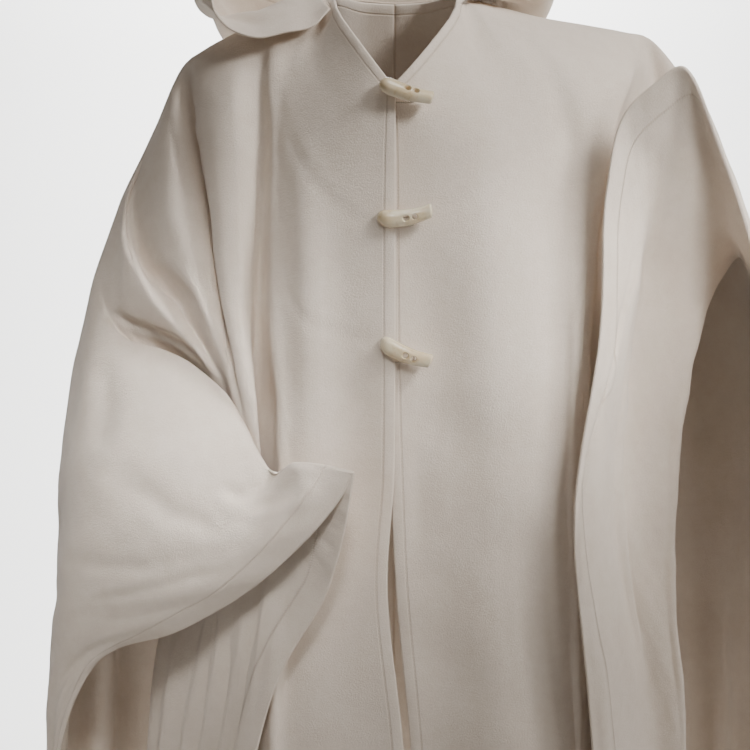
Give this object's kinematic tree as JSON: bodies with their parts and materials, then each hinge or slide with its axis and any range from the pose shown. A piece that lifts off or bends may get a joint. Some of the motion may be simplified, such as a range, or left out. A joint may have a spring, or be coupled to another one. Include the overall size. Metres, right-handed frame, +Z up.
{
  "type": "poncho",
  "caption": "Worn open-front wool poncho with a hood lying down and a toggle closing, its arms bent, hollow where the wearer stands.",
  "frame": {"origin": "between the wearer's shoulders at the height of the neck points, where the cloth hangs on the wearer", "axes": "+Z up, -Y to the wearer's front, +X to the wearer's left"},
  "size_m": [0.792, 0.3967, 1.0503],
  "materials": {
    "wool_felt": "thick felted wool, soft and matt",
    "toggle_resin": "cream cast resin, polished",
    "loop_cord": "thin twisted cord"
  },
  "bodies": {
    "root": {"front_right": "wool_felt", "back_right": "wool_felt", "front_left": "wool_felt", "back_left": "wool_felt", "hood": "wool_felt", "toggle_1": "toggle_resin", "toggle_2": "toggle_resin", "toggle_3": "toggle_resin", "loop_1": "loop_cord", "loop_2": "loop_cord", "loop_3": "loop_cord"}
  },
  "joints": []
}
